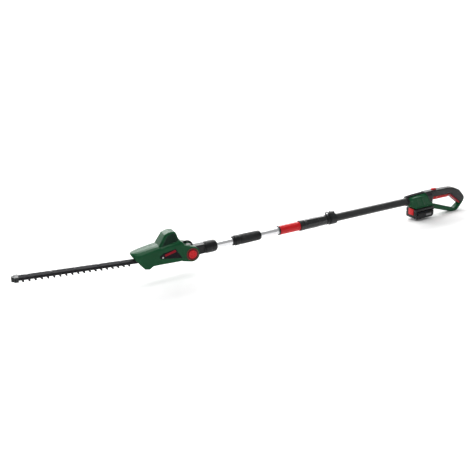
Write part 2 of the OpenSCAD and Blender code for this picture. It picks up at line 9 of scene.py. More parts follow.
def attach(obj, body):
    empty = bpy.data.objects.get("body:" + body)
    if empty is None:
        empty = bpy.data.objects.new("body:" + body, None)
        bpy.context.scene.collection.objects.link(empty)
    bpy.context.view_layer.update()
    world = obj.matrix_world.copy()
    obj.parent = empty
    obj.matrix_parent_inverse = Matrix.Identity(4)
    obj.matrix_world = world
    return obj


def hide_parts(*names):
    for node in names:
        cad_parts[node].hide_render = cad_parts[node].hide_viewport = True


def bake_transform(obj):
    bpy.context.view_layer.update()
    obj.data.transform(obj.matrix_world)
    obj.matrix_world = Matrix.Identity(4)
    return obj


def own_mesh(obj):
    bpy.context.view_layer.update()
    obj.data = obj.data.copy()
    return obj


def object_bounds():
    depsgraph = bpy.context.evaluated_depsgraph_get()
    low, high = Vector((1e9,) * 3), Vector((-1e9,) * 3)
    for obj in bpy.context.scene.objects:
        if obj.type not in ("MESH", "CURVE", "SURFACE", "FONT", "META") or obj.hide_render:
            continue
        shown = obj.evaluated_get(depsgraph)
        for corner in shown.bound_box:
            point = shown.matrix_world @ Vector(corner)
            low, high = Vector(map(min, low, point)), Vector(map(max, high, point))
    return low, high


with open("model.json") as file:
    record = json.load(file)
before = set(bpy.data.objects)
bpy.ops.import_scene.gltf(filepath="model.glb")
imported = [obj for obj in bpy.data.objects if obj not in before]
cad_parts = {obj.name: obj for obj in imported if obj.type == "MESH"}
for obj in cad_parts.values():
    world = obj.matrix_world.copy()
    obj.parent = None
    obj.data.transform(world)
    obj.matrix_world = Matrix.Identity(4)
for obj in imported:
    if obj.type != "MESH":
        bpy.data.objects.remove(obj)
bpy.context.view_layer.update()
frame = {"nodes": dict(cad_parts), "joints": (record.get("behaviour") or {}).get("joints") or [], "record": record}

# ---------------------------------------------------------------- places taken from the frame
MM = 0.001
JOINTS = {joint["name"]: joint for joint in frame["joints"]}
PIVOT = Vector(JOINTS["head_tilt"]["pos_m"])
PIVOT_X = 650.0  # the head pivot's distance from the blade tip, in mm
STROKE_AXIS = JOINTS["blade_stroke"]["axis"]
TILT = math.atan2(-STROKE_AXIS[2], STROKE_AXIS[0])
POLE = Matrix.Translation(PIVOT) @ Matrix.Scale(MM, 4) @ Matrix.Translation((-PIVOT_X, 0, 0))
HEAD = Matrix.Translation(PIVOT) @ Matrix.Rotation(TILT, 4, "Y") @ Matrix.Scale(MM, 4)


# ---------------------------------------------------------------- outlines, in mm
def soften(points, radius, steps=4):
    """Outline with each corner replaced by a curve that starts radius away from it."""
    result = []
    for i, corner in enumerate(points):
        corner = Vector(corner)
        before = Vector(points[i - 1]) - corner
        after = Vector(points[(i + 1) % len(points)]) - corner
        a = corner + before.normalized() * min(radius, 0.45 * before.length)
        b = corner + after.normalized() * min(radius, 0.45 * after.length)
        for k in range(steps + 1):
            t = k / steps
            p = a * (1 - t) ** 2 + corner * 2 * t * (1 - t) + b * t ** 2
            result.append((p.x, p.y))
    return result


def inset(points, d):
    """Anticlockwise outline moved inwards by d, corner by corner."""
    result = []
    for i, corner in enumerate(points):
        corner = Vector(corner)
        u = (corner - Vector(points[i - 1])).normalized()
        v = (Vector(points[(i + 1) % len(points)]) - corner).normalized()
        nu = Vector((-u.y, u.x))
        nv = Vector((-v.y, v.x))
        moved = corner + d * (nu + nv) / max(0.4, 1 + nu.dot(nv))
        result.append((moved.x, moved.y))
    return result


def circle(x, z, r, count=40):
    return [
        (x + r * math.cos(2 * math.pi * k / count), z + r * math.sin(2 * math.pi * k / count))
        for k in range(count)
    ]


def span_at(points, z):
    """Lowest and highest x where the level z crosses the outline."""
    xs = []
    for i, (x1, z1) in enumerate(points):
        x0, z0 = points[i - 1]
        if (z0 - z) * (z1 - z) < 0:
            xs.append(x0 + (x1 - x0) * (z - z0) / (z1 - z0))
    return min(xs), max(xs)


# ---------------------------------------------------------------- mesh building, in mm
def make(name, verts, faces):
    mesh = bpy.data.meshes.new(name)
    mesh.from_pydata(verts, [], faces)
    obj = bpy.data.objects.new(name, mesh)
    bpy.context.scene.collection.objects.link(obj)
    work = bmesh.new()
    work.from_mesh(mesh)
    bmesh.ops.recalc_face_normals(work, faces=work.faces)
    work.to_mesh(mesh)
    work.free()
    return obj


def stack(name, rings):
    """Closed solid through rings of equal length, with flat ends."""
    n = len(rings[0])
    verts = [point for ring in rings for point in ring]
    faces = [
        (i * n + k, i * n + (k + 1) % n, (i + 1) * n + (k + 1) % n, (i + 1) * n + k)
        for i in range(len(rings) - 1)
        for k in range(n)
    ]
    faces.append(tuple(range(n - 1, -1, -1)))
    faces.append(tuple(range((len(rings) - 1) * n, len(rings) * n)))
    return make(name, verts, faces)


def plate(name, outline, y0, y1, round_r=0.0, steps=4):
    """Outline in X and Z made solid from y0 to y1, its rims rounded by round_r."""
    levels = [(0.0, 0.0)]
    if round_r:
        levels = [
            (round_r * (1 - math.sin(a)), round_r * (1 - math.cos(a)))
            for a in [math.pi / 2 * k / steps for k in range(steps + 1)]
        ]
        levels.reverse()
    low = [(y0 + dy, d) for dy, d in levels]
    high = [(y1 - dy, d) for dy, d in reversed(levels)]
    rings = []
    for y, d in low + high:
        ring = inset(outline, d) if d else outline
        rings.append([(x, y, z) for x, z in ring])
    return stack(name, rings)


def turned(name, profile, count=64, ripple=None):
    """Surface about the X axis. profile holds (x, radius); ripple(x, angle) adds to the radius."""
    rings = []
    for x, r in profile:
        ring = []
        for k in range(count):
            a = 2 * math.pi * k / count
            radius = r + (ripple(x, a) if ripple else 0.0)
            ring.append((x, radius * math.sin(a), radius * math.cos(a)))
        rings.append(ring)
    return rings


def sleeve(name, profile, bore, count=64, ripple=None):
    """Tube about the X axis with a turned outside and a plain bore."""
    outer = turned(name, profile, count, ripple)
    inner = turned(name, [(profile[-1][0], bore), (profile[0][0], bore)], count)
    rings = outer + inner
    verts = [point for ring in rings for point in ring]
    n = count
    faces = [
        (i * n + k, i * n + (k + 1) % n, ((i + 1) % len(rings)) * n + (k + 1) % n,
         ((i + 1) % len(rings)) * n + k)
        for i in range(len(rings))
        for k in range(n)
    ]
    return make(name, verts, faces)


def knob(name, profile, count=72):
    """Solid turned about the Y axis. profile holds (y, radius) from one flat end to the other."""
    rings = [
        [(r * math.cos(2 * math.pi * k / count), y, r * math.sin(2 * math.pi * k / count))
         for k in range(count)]
        for y, r in profile
    ]
    return stack(name, rings)


def washer(name, profile, bore, count=72):
    """Ring turned about the Y axis with a plain bore."""
    full = [(y, r) for y, r in profile] + [(profile[-1][0], bore), (profile[0][0], bore)]
    n = count
    verts = [
        (r * math.cos(2 * math.pi * k / n), y, r * math.sin(2 * math.pi * k / n))
        for y, r in full
        for k in range(n)
    ]
    faces = [
        (i * n + k, i * n + (k + 1) % n, ((i + 1) % len(full)) * n + (k + 1) % n,
         ((i + 1) % len(full)) * n + k)
        for i in range(len(full))
        for k in range(n)
    ]
    return make(name, verts, faces)


def rounded_profile(points, r, steps=3):
    """Open (position, radius) profile with its inner corners rounded."""
    result = [points[0]]
    for i in range(1, len(points) - 1):
        corner = Vector(points[i])
        before = Vector(points[i - 1]) - corner
        after = Vector(points[i + 1]) - corner
        a = corner + before.normalized() * min(r, 0.45 * before.length)
        b = corner + after.normalized() * min(r, 0.45 * after.length)
        for k in range(steps + 1):
            t = k / steps
            p = a * (1 - t) ** 2 + corner * 2 * t * (1 - t) + b * t ** 2
            result.append((p.x, p.y))
    result.append(points[-1])
    return result


def cuboid(name, low, high, round_r=0.0):
    """Box from low to high; round_r rounds all its edges."""
    corners = [(low[0], low[2]), (high[0], low[2]), (high[0], high[2]), (low[0], high[2])]
    outline = soften(corners, round_r, 3) if round_r else corners
    return plate(name, outline, low[1], high[1], round_r * 0.8, 3)


def moved(obj, matrix):
    obj.data.transform(matrix)
    return obj


def joined(name, parts):
    """One object out of several, their faces kept apart."""
    work = bmesh.new()
    for part in parts:
        work.from_mesh(part.data)
        bpy.data.objects.remove(part)
    mesh = bpy.data.meshes.new(name)
    work.to_mesh(mesh)
    work.free()
    obj = bpy.data.objects.new(name, mesh)
    bpy.context.scene.collection.objects.link(obj)
    return obj


def applied(obj):
    """The object with its modifiers worked into its mesh."""
    graph = bpy.context.evaluated_depsgraph_get()
    mesh = bpy.data.meshes.new_from_object(obj.evaluated_get(graph))
    obj.modifiers.clear()
    obj.data = mesh
    return obj


def carved(obj, cutters):
    """The object less the cutters."""
    tool = joined("cutter", cutters)
    modifier = obj.modifiers.new("cut", "BOOLEAN")
    modifier.operation = "DIFFERENCE"
    modifier.solver = "EXACT"
    modifier.use_self = True
    modifier.object = tool
    applied(obj)
    bpy.data.objects.remove(tool)
    return obj


def kept_within(obj, tool):
    """The part of the object that lies inside the tool."""
    modifier = obj.modifiers.new("keep", "BOOLEAN")
    modifier.operation = "INTERSECT"
    modifier.solver = "EXACT"
    modifier.object = tool
    applied(obj)
    bpy.data.objects.remove(tool)
    return obj


def moulded(obj, voxel=1.0, rounds=5):
    """Melts overlapping solids into one skin and softens its edges."""
    remesh = obj.modifiers.new("melt", "REMESH")
    remesh.mode = "VOXEL"
    remesh.voxel_size = voxel
    smooth = obj.modifiers.new("soften", "SMOOTH")
    smooth.factor = 0.5
    smooth.iterations = rounds
    return applied(obj)


def half_shell(name, source, side, wall):
    """Thin-walled half of a skin: side 1 keeps +Y and -1 keeps -Y."""
    seam = 0.12
    work = bmesh.new()
    work.from_mesh(source.data)
    geometry = work.verts[:] + work.edges[:] + work.faces[:]
    bmesh.ops.bisect_plane(
        work, geom=geometry, plane_co=(0, side * seam, 0), plane_no=(0, side, 0), clear_inner=True
    )
    mesh = bpy.data.meshes.new(name)
    work.to_mesh(mesh)
    work.free()
    obj = bpy.data.objects.new(name, mesh)
    bpy.context.scene.collection.objects.link(obj)
    thick = obj.modifiers.new("wall", "SOLIDIFY")
    thick.thickness = wall
    thick.offset = -1
    return applied(obj)


def shade(obj, angle=40):
    """Smooth shading that stays sharp past the angle."""
    mesh = obj.data
    mesh.shade_smooth()
    mesh.set_sharp_from_angle(angle=math.radians(angle))
    return obj


def place(obj, matrix, body, material, nodes=(), angle=40):
    """Moves a finished piece from mm into the frame and ties it to its CAD body."""
    obj.data.transform(matrix)
    obj.data.materials.clear()
    obj.data.materials.append(material)
    shade(obj, angle)
    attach(obj, body)
    if nodes:
        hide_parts(*nodes)
    return obj


# ---------------------------------------------------------------- materials
class Graph:
    """Short names for building one material's nodes."""

    def __init__(self, name):
        self.material = bpy.data.materials.new(name)
        self.material.use_nodes = True
        self.tree = self.material.node_tree
        self.shader = self.tree.nodes["Principled BSDF"]
        self.coords = self.add("ShaderNodeTexCoord").outputs["Object"]

    def add(self, kind, **settings):
        node = self.tree.nodes.new(kind)
        for key, value in settings.items():
            setattr(node, key, value)
        return node

    def link(self, a, b):
        self.tree.links.new(a, b)

    def noise(self, scale, detail=3.0, stretch=(1, 1, 1)):
        mapping = self.add("ShaderNodeMapping")
        mapping.inputs["Scale"].default_value = stretch
        self.link(self.coords, mapping.inputs["Vector"])
        node = self.add("ShaderNodeTexNoise")
        node.inputs["Scale"].default_value = scale
        node.inputs["Detail"].default_value = detail
        self.link(mapping.outputs["Vector"], node.inputs["Vector"])
        return node.outputs["Fac"]

    def ramp(self, source, stops):
        node = self.add("ShaderNodeValToRGB")
        elements = node.color_ramp.elements
        elements[0].position, elements[0].color = stops[0]
        elements[1].position, elements[1].color = stops[-1]
        for position, colour in stops[1:-1]:
            elements.new(position).color = colour
        self.link(source, node.inputs["Fac"])
        return node.outputs["Color"]

    def spread(self, source, low, high):
        node = self.add("ShaderNodeMapRange")
        node.inputs["To Min"].default_value = low
        node.inputs["To Max"].default_value = high
        self.link(source, node.inputs["Value"])
        return node.outputs["Result"]

    def worn(self, base, edge, amount):
        """Mixes an edge colour in where the surface turns sharply outwards."""
        geometry = self.add("ShaderNodeNewGeometry")
        mask = self.add("ShaderNodeMapRange")
        mask.inputs["From Min"].default_value = 0.52
        mask.inputs["From Max"].default_value = 0.60
        mask.inputs["To Max"].default_value = amount
        self.link(geometry.outputs["Pointiness"], mask.inputs["Value"])
        mix = self.add("ShaderNodeMix", data_type="RGBA")
        self.link(mask.outputs["Result"], mix.inputs["Factor"])
        self.link(base, mix.inputs["A"])
        mix.inputs["B"].default_value = edge
        return mix.outputs["Result"]

    def bump(self, source, strength, distance):
        node = self.add("ShaderNodeBump")
        node.inputs["Strength"].default_value = strength
        node.inputs["Distance"].default_value = distance
        self.link(source, node.inputs["Height"])
        self.link(node.outputs["Normal"], self.shader.inputs["Normal"])


def tone(colour, gain):
    return tuple(min(1.0, channel * gain) for channel in colour) + (1.0,)


def plastic(name, colour, rough, grain=900.0, bump=0.25, edge_gain=1.8, coat=0.0, shine=0.3):
    """Moulded plastic: faint mottling, spark-eroded grain and lighter, rubbed edges."""
    g = Graph(name)
    mottling = g.noise(14.0, 4.0)
    base = g.ramp(mottling, [(0.3, tone(colour, 0.9)), (0.7, tone(colour, 1.1))])
    worn = g.worn(base, tone(colour, edge_gain), 0.5)
    g.link(worn, g.shader.inputs["Base Color"])
    g.link(g.spread(g.noise(45.0, 3.0), rough - 0.06, rough + 0.06), g.shader.inputs["Roughness"])
    g.bump(g.noise(grain, 2.0), bump, 0.0002)
    g.shader.inputs["Specular IOR Level"].default_value = shine
    g.shader.inputs["Coat Weight"].default_value = coat
    g.shader.inputs["Coat Roughness"].default_value = 0.25
    return g.material


def rubber(name, colour, rough):
    """Soft overmoulding: matt, dusty on its edges, with a fine pebbled grain."""
    g = Graph(name)
    dust = g.noise(24.0, 5.0)
    base = g.ramp(dust, [(0.3, tone(colour, 0.85)), (0.75, tone(colour, 1.25))])
    g.link(g.worn(base, tone(colour, 2.2), 0.45), g.shader.inputs["Base Color"])
    g.link(g.spread(g.noise(60.0, 2.0), rough - 0.05, rough + 0.08), g.shader.inputs["Roughness"])
    cells = g.add("ShaderNodeTexVoronoi")
    cells.inputs["Scale"].default_value = 700.0
    g.link(g.coords, cells.inputs["Vector"])
    g.bump(cells.outputs["Distance"], 0.35, 0.00025)
    g.shader.inputs["Specular IOR Level"].default_value = 0.25
    return g.material


def metal(name, colour, rough, stretch, scale=260.0, bump=0.15, edge_gain=1.15):
    """Metal with drawn or ground lines along the stretched direction."""
    g = Graph(name)
    lines = g.noise(scale, 3.0, stretch)
    base = g.ramp(lines, [(0.25, tone(colour, 0.88)), (0.75, tone(colour, 1.06))])
    g.link(g.worn(base, tone(colour, edge_gain), 0.6), g.shader.inputs["Base Color"])
    g.link(g.spread(lines, rough - 0.06, rough + 0.1), g.shader.inputs["Roughness"])
    g.shader.inputs["Metallic"].default_value = 1.0
    g.bump(lines, bump, 0.0001)
    return g.material


def painted(name, colour, rough, bare, scratch=0.35, shine=0.3):
    """Dark coating on steel, rubbed to bare metal on its edges, with fine scratches."""
    g = Graph(name)
    patches = g.noise(30.0, 5.0)
    base = g.ramp(patches, [(0.35, tone(colour, 0.8)), (0.7, tone(colour, 1.5))])
    worn = g.worn(base, bare + (1.0,), scratch)
    g.link(worn, g.shader.inputs["Base Color"])
    g.link(g.spread(g.noise(80.0, 3.0, (0.1, 1, 1)), rough - 0.08, rough + 0.12),
           g.shader.inputs["Roughness"])
    g.shader.inputs["Specular IOR Level"].default_value = shine
    g.bump(g.noise(500.0, 2.0), 0.15, 0.0001)
    return g.material


GREEN = (0.004, 0.060, 0.021)
BLACK = (0.006, 0.0068, 0.0072)
RED = (0.52, 0.006, 0.010)

MATERIALS = {
    "green_plastic": plastic("green_moulded", GREEN, 0.25, shine=0.13),
    "black_plastic": plastic("black_moulded", BLACK, 0.3, edge_gain=3.0, shine=0.25),
    "red_plastic": plastic("red_moulded", RED, 0.3, edge_gain=1.3, shine=0.25),
    "pale_plastic": plastic("pale_moulded", (0.48, 0.5, 0.47), 0.42, edge_gain=1.2),
    "soft_rubber": rubber("soft_grip_rubber", (0.014, 0.0145, 0.0155), 0.42),
    "cable_rubber": rubber("cable_sheath", (0.01, 0.01, 0.011), 0.45),
    "tube_aluminium": metal("anodised_tube", (0.7, 0.705, 0.715), 0.3, (0.02, 1, 1)),
    "black_aluminium": painted("black_tube_coat", (0.006, 0.0065, 0.007), 0.3, (0.1, 0.1, 0.1), 0.2, 0.25),
    "cast_aluminium": metal("cast_metal", (0.6, 0.6, 0.62), 0.5, (1, 1, 1), 500.0, 0.4),
    "blade_steel": painted("blade_coat", (0.004, 0.004, 0.0045), 0.6, (0.06, 0.06, 0.065), 0.4, 0.02),
    "steel": metal("ground_steel", (0.6, 0.6, 0.62), 0.32, (1, 1, 0.05)),
    "copper_windings": metal("varnished_windings", (0.55, 0.24, 0.1), 0.4, (1, 1, 0.1), 700.0, 0.5),
    "circuit_board": plastic("solder_mask", (0.01, 0.12, 0.035), 0.3, 400.0, 0.2, 1.5),
    "cell_wrap": plastic("cell_film", (0.05, 0.16, 0.35), 0.28, 200.0, 0.1, 1.4),
}
# Darkened red for the tilt button's bezel: the dark is painted shade, standing for the shadow in the recess round
# the button.
RED_WITH_PAINTED_RECESS_SHADE = plastic("red_moulded_painted_recess_shade", (0.11, 0.006, 0.006), 0.42, edge_gain=2.0)
GRIP = plastic("front_grip_satin", (0.009, 0.0095, 0.01), 0.26, 600.0, 0.3, 2.5, shine=0.45)
BADGE = plastic("badge_film", (0.006, 0.006, 0.008), 0.3, 300.0, 0.05, 1.5, 0.0, 0.08)
BADGE_RED = plastic("badge_red_film", (0.24, 0.006, 0.015), 0.3, 300.0, 0.05, 1.2, 0.0, 0.1)
LOUVRE = plastic("louvre_moulded", (0.006, 0.03, 0.016), 0.5, edge_gain=2.5)
GREY_PLASTIC = plastic("grey_moulded", (0.16, 0.16, 0.165), 0.45, edge_gain=1.4)

MATT_BLACK = plastic("matt_black_moulded", (0.007, 0.0075, 0.008), 0.7, 500.0, 0.4, 2.0, shine=0.04)
DARK_STEEL = metal("blackened_steel", (0.07, 0.07, 0.075), 0.45, (1, 1, 0.2))
DARK_NODES = ("strap_eye", "blade_bolts", "head_screws", "handle_screws")

for entry in frame["record"]["subparts"]:
    cad = frame["nodes"][entry["node"]]
    cad.data.materials.clear()
    dark = entry["node"] in DARK_NODES
    cad.data.materials.append(DARK_STEEL if dark else MATERIALS[entry["material_slot"]])


# ---------------------------------------------------------------- cutting head
HUMP = [
    (-134, 25), (-34, 25), (-34, 50), (-50, 62), (-61, 91), (-66, 94.5), (-85, 94.5), (-105, 86.5),
    (-131, 44)
]
VENT = [(-120, 42), (-58, 57), (-55, 63), (-66, 89), (-77, 89), (-97, 82)]
ARM = [(-40, -24), (-4, -30.7), (0, 31), (-40, 44)]
# station: x, keel half width, half width, keel z, side top z, crown half width, crown edge z, crown z
HULL = [
    (-234, 6, 9, 18, 20, 7, 22, 24), (-230, 13, 18, 11, 18.5, 16, 21.5, 25),
    (-223, 21, 28, 3, 17, 26, 20.5, 27), (-214, 30, 36, -9, 15.5, 34, 19.5, 29),
    (-205, 34, 39.5, -19, 17, 37, 21.5, 31), (-188, 36, 41, -37, 22, 38.5, 26.5, 35),
    (-170, 36, 41, -39.3, 26.5, 38.5, 31, 39), (-156, 36, 41, -28.5, 30, 38.5, 34.5, 42),
    (-137, 36, 41, -27.5, 34, 38.5, 39, 45), (-132, 36, 41, -27.3, 33.5, 36, 40, 46),
    (-126, 36, 41, -27.1, 34, 32, 41, 47),
    (-110, 36, 41, -26.5, 36.5, 31, 46, 49), (-60, 36, 41, -25, 44, 31, 57, 60),
    (-50, 36, 41, -24.5, 46, 31, 59.5, 62), (-37, 36, 41, -24, 47.5, 33, 52, 53),
    (-34, 35, 40, -24, 44, 33, 48, 49)
]
SCREWS = [(-216, 6, 32), (-168, -28, 41), (-47, -16, 41), (-45, 29, 41)]


def hull_ring(station):
    x, keel_w, w, keel, side_top, crown_w, edge, crown = station
    low = keel + min(4.0, 0.4 * (side_top - keel))
    half = [
        (0, keel), (keel_w, keel), (keel_w + 0.6 * (w - keel_w), 0.5 * (keel + low)), (w, low),
        (w, side_top), (w - 0.35 * (w - crown_w), side_top + 0.45 * (edge - side_top)),
        (crown_w, edge), (0.7 * crown_w, edge + 0.65 * (crown - edge)),
        (0.35 * crown_w, edge + 0.92 * (crown - edge)), (0, crown)
    ]
    left = [(-y, z) for y, z in half[-2:0:-1]]
    return [(x, y, z) for y, z in half + left]


def tapered(obj):
    """Narrows a piece of the motor hump towards the top."""
    for vertex in obj.data.vertices:
        vertex.co.y *= 1 - 0.2 * max(0.0, min(1.0, (vertex.co.z - 42) / 52))
    return obj


def build_head():
    parts = [
        stack("hull", [hull_ring(s) for s in HULL]),
        tapered(moulded(plate("hump", soften(HUMP, 5), -31, 31, 3.5), 2.0, 0)),
    ]
    for side in (-1, 1):
        y0, y1 = sorted((side * 18.0, side * 42.0))
        parts.append(plate("arm", ARM, y0, y1, 2.0))
        parts.append(plate("boss", circle(0, 0, 31), y0, y1, 3.0))
    head = moulded(joined("head", parts), 0.9, 3)
    cutters = [cuboid("slot", (-250, -36, -20), (-196, 36, -3))]
    for side in (-1, 1):
        y0, y1 = sorted((side * 26.0, side * 60.0))
        cutters.append(tapered(plate("vent", VENT, y0, y1)))
        y0, y1 = sorted((side * 28.0, side * 60.0))
        cutters.append(plate("pocket", circle(0, 0, 24.95, 72), y0, y1))
    for x, z, w in SCREWS:
        cutters.append(plate("recess", circle(x, z, 4, 24), w - 4, 60))
    head = carved(head, cutters)
    for side, name, node in ((-1, "left", "head_shell_left"), (1, "right", "head_shell_right")):
        shell = half_shell("head_cover_" + name, head, side, 2.4)
        place(shell, HEAD, "head", MATERIALS["green_plastic"], [node], 40)
    bpy.data.objects.remove(head)


def build_vents():
    """Louvred grille on each side of the motor hump."""
    inner = inset(VENT, 2.5)
    for side, name in ((-1, "left"), (1, "right")):
        rim = plate("rim", inset(VENT, 0.1), *sorted((side * 27.0, side * 30.8)), 0.4, 2)
        rim = carved(rim, [plate("hole", inner, *sorted((side * 20.0, side * 40.0)))])
        parts = [rim]
        for z in range(48, 87, 4):
            x0, x1 = span_at(VENT, z)
            slat = cuboid("slat", (x0 + 2.2, -0.6, -1.7), (x1 - 2.2, 0.6, 1.7), 0.3)
            moved(slat, Matrix.Rotation(math.radians(40 * side), 4, "X"))
            parts.append(moved(slat, Matrix.Translation((0, side * 29.2, z))))
        parts.append(plate("back", inset(VENT, 0.2), *sorted((side * 26.2, side * 26.8))))
        grille = tapered(joined("vent_louvres_" + name, parts))
        nodes = ["vent_grilles"] if side < 0 else []
        place(grille, HEAD, "head", LOUVRE, nodes)


def build_badges():
    """Plain wedge-shaped films on the flanks, with no lettering."""
    wedge = soften([(-132, 8), (-128, -2), (-42, -9), (-68, 31), (-116, 20)], 2)
    stripe = soften([(-112, 14), (-110, 5), (-66, 19), (-70, 28)], 1.5)
    dot = circle(-119, 2.5, 3.6)
    for side, name in ((-1, "left"), (1, "right")):
        film = plate("badge_" + name, wedge, *sorted((side * 40.2, side * 41.25)), 0.3, 2)
        place(film, HEAD, "head", BADGE)
        patch = plate("badge_stripe_" + name, stripe, *sorted((side * 40.9, side * 41.4)), 0.2, 2)
        place(patch, HEAD, "head", BADGE_RED)
        spot = plate("badge_dot_" + name, dot, *sorted((side * 40.9, side * 41.4)), 0.2, 2)
        place(spot, HEAD, "head", MATERIALS["pale_plastic"])


def build_pivot():
    button = knob("tilt_release_button", rounded_profile(
        [(-33, 0.5), (-33, 9), (-37, 9), (-37, 16.5), (-45, 16.5), (-45.0, 12), (-44.0, 11),
         (-44.0, 0.5)], 1.2))
    place(button, HEAD, "tilt_button", MATERIALS["red_plastic"], ["tilt_button"])
    ribs = [
        moved(cuboid("rib", (-6, -44.9, -0.8), (6, -43.8, 0.8), 0.4), Matrix.Translation((0, 0, z)))
        for z in (-5, 0, 5)
    ]
    marks = joined("tilt_button_ribs", ribs)
    place(marks, HEAD, "tilt_button", MATERIALS["red_plastic"])
    # The bezel ring is a real part; its dark red colour is painted shade of the recess round the button.
    bezel = washer("tilt_button_bezel", rounded_profile(
        [(-36, 17.0), (-36, 24.9), (-42.8, 24.9), (-44.0, 22.5), (-42.5, 18.5), (-42, 17.0)], 0.8),
        16.95)
    place(bezel, HEAD, "head", RED_WITH_PAINTED_RECESS_SHADE, ["tilt_bezel"])
    cap = knob("pivot_end_cap", rounded_profile(
        [(36, 0.5), (36, 24.9), (45, 24.9), (45, 19), (44, 17.5), (44, 0.5)], 1.4))
    place(cap, HEAD, "head", MATERIALS["black_plastic"], ["pivot_cap"])


def cord(name, route, radius):
    """Round wire or lead swept smoothly along a route of points in mm."""
    curve = bpy.data.curves.new(name, "CURVE")
    curve.dimensions = "3D"
    curve.resolution_u = 3
    curve.bevel_depth = radius
    curve.bevel_resolution = 3
    curve.use_fill_caps = True
    spline = curve.splines.new("NURBS")
    spline.points.add(len(route) - 1)
    for point, place_mm in zip(spline.points, route):
        point.co = (*place_mm, 1.0)
    spline.use_endpoint_u = True
    spline.order_u = 4
    source = bpy.data.objects.new(name + "_curve", curve)
    bpy.context.scene.collection.objects.link(source)
    graph = bpy.context.evaluated_depsgraph_get()
    mesh = bpy.data.meshes.new_from_object(source.evaluated_get(graph))
    bpy.data.objects.remove(source)
    obj = bpy.data.objects.new(name, mesh)
    bpy.context.scene.collection.objects.link(obj)
    return obj


def helix(r, start, end, turns, steps=12):
    """Points of a coil of radius r along local Z."""
    count = turns * steps
    return [
        (r * math.cos(2 * math.pi * k / steps), r * math.sin(2 * math.pi * k / steps),
         start + (end - start) * k / count)
        for k in range(count + 1)
    ]


def spring(name, r, wire, turns, low, high, matrix):
    route = helix(r, low + wire, high - wire, turns)
    return moved(cord(name, route, wire), matrix)


def build_springs():
    """The three return springs, each built as a fixed coil of wire."""
    tilt = spring("tilt_spring", 13, 1.0, 3, 28.1, 36.9, Matrix.Rotation(math.radians(90), 4, "X"))
    place(tilt, HEAD, "head", MATERIALS["steel"], ["tilt_button_spring"], 60)
    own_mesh(tilt)
    for name, node, joint, x, low, high, anchor, keep in (
        ("trigger_return_spring", "trigger_spring", "trigger_squeeze", 2018, -6.9, 5.1, 5.1, 0.56),
        ("lock_off_return_spring", "lock_off_spring", "lock_off_press", 1932, 2.6, 15.9, 2.6, 0.69),
    ):
        coil = spring(name, 3.0, 0.6, 4, low, high, Matrix.Translation((x, 0, 0)))
        place(coil, POLE, "handle", MATERIALS["steel"], [node], 60)
        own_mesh(coil)


def build_power_lead():
    """Lead through the pole: straight, coiled where the pole telescopes, straight again."""
    coil = [(x, y, z) for y, z, x in helix(6.4, 1506, 1802, 44)]
    route = [(pole_x, 0, 0) for pole_x in range(710, 1500, 60)]
    route += [(1496, 0, 0)] + coil + [(1808, 0, 0), (1814, 0, 0), (1824, 0, 0), (1836, 0, 0)]
    lead = cord("power_lead", route, 2.5)
    lead.data.transform(POLE)
    lead.data.materials.append(MATERIALS["cable_rubber"])
    shade(lead, 60)
    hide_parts("power_cable")
    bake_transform(lead)


def build_cable():
    """Short lead from the head's gland over the fork and down into the neck."""
    route = [
        (-39, 0, 38), (-33, 0, 38), (-26, 0, 38.2), (-18, 0, 41.4), (-10, 0, 43), (-2, 0, 41.8),
        (5, 0, 38.5), (10.5, 0, 33.5), (14, 0, 27.5), (15, 0, 23.5)
    ]
    lead = cord("pivot_lead_sheath", route, 3.4)
    lead.data.transform(HEAD)
    lead.data.materials.append(MATERIALS["cable_rubber"])
    shade(lead, 60)
    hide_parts("pivot_cable")
    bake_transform(lead)


# ---------------------------------------------------------------- pole
def ribbed(count, depth, x0, x1):
    """Lengthwise flutes between x0 and x1, fading out at both ends."""
    def add(x, a):
        fade = max(0.0, min(1.0, (x - x0) / 6, (x1 - x) / 6))
        return -depth * fade * (0.5 + 0.5 * math.cos(count * a)) ** 2
    return add


def fine(points, step=2.0):
    """Profile with extra points, so that flutes can fade along it."""
    result = [points[0]]
    for (x0, r0), (x1, r1) in zip(points, points[1:]):
        n = max(1, round(abs(x1 - x0) / step))
        result += [(x0 + (x1 - x0) * k / n, r0 + (r1 - r0) * k / n) for k in range(1, n + 1)]
    return result


def build_neck():
    offset = PIVOT_X
    parts = [
        plate("tongue", circle(0, 0, 28, 64), -17.4, 17.4, 2.5),
        plate("stem", soften([(0, -21), (66, -19), (66, 19), (0, 21)], 3), -17.4, 17.4, 5),
        stack("barrel", turned("barrel", [(38, 14), (42, 18.5), (48, 20), (72, 20)], 48)),
    ]
    neck = moulded(joined("neck", parts), 0.9, 4)
    lead_hole = plate("hole", circle(15, 0, 5.2, 24), -40, 0)
    moved(lead_hole, Matrix.Rotation(math.radians(-90), 4, "X"))
    pin_hole = plate("hole", circle(0, 0, 6.1, 32), -30, 30)
    side_cuts = [
        plate("panel", soften([(34, -11), (62, -10), (62, 10), (34, 11)], 5), *sorted((s * 16.2, s * 30)))
        for s in (-1, 1)
    ]
    neck = carved(neck, [moved(lead_hole, Matrix.Rotation(TILT, 4, "Y")), pin_hole] + side_cuts)
    neck.name = "neck_housing"
    moved(neck, Matrix.Translation((offset, 0, 0)))
    place(neck, POLE, "inner_pole", MATERIALS["black_plastic"], ["pivot_neck"], 50)

    profile = rounded_profile([
        (716, 20.5), (716, 23), (721, 24.8), (742, 25), (742.6, 24.4), (744.4, 24.4), (745, 25),
        (758, 24.4), (765, 21.5), (768, 17.5), (768, 15.2)
    ], 1.2)
    collar = sleeve("neck_end_collar", profile, 15.1, 72)
    place(collar, POLE, "inner_pole", MATERIALS["black_plastic"], ["neck_collar"])


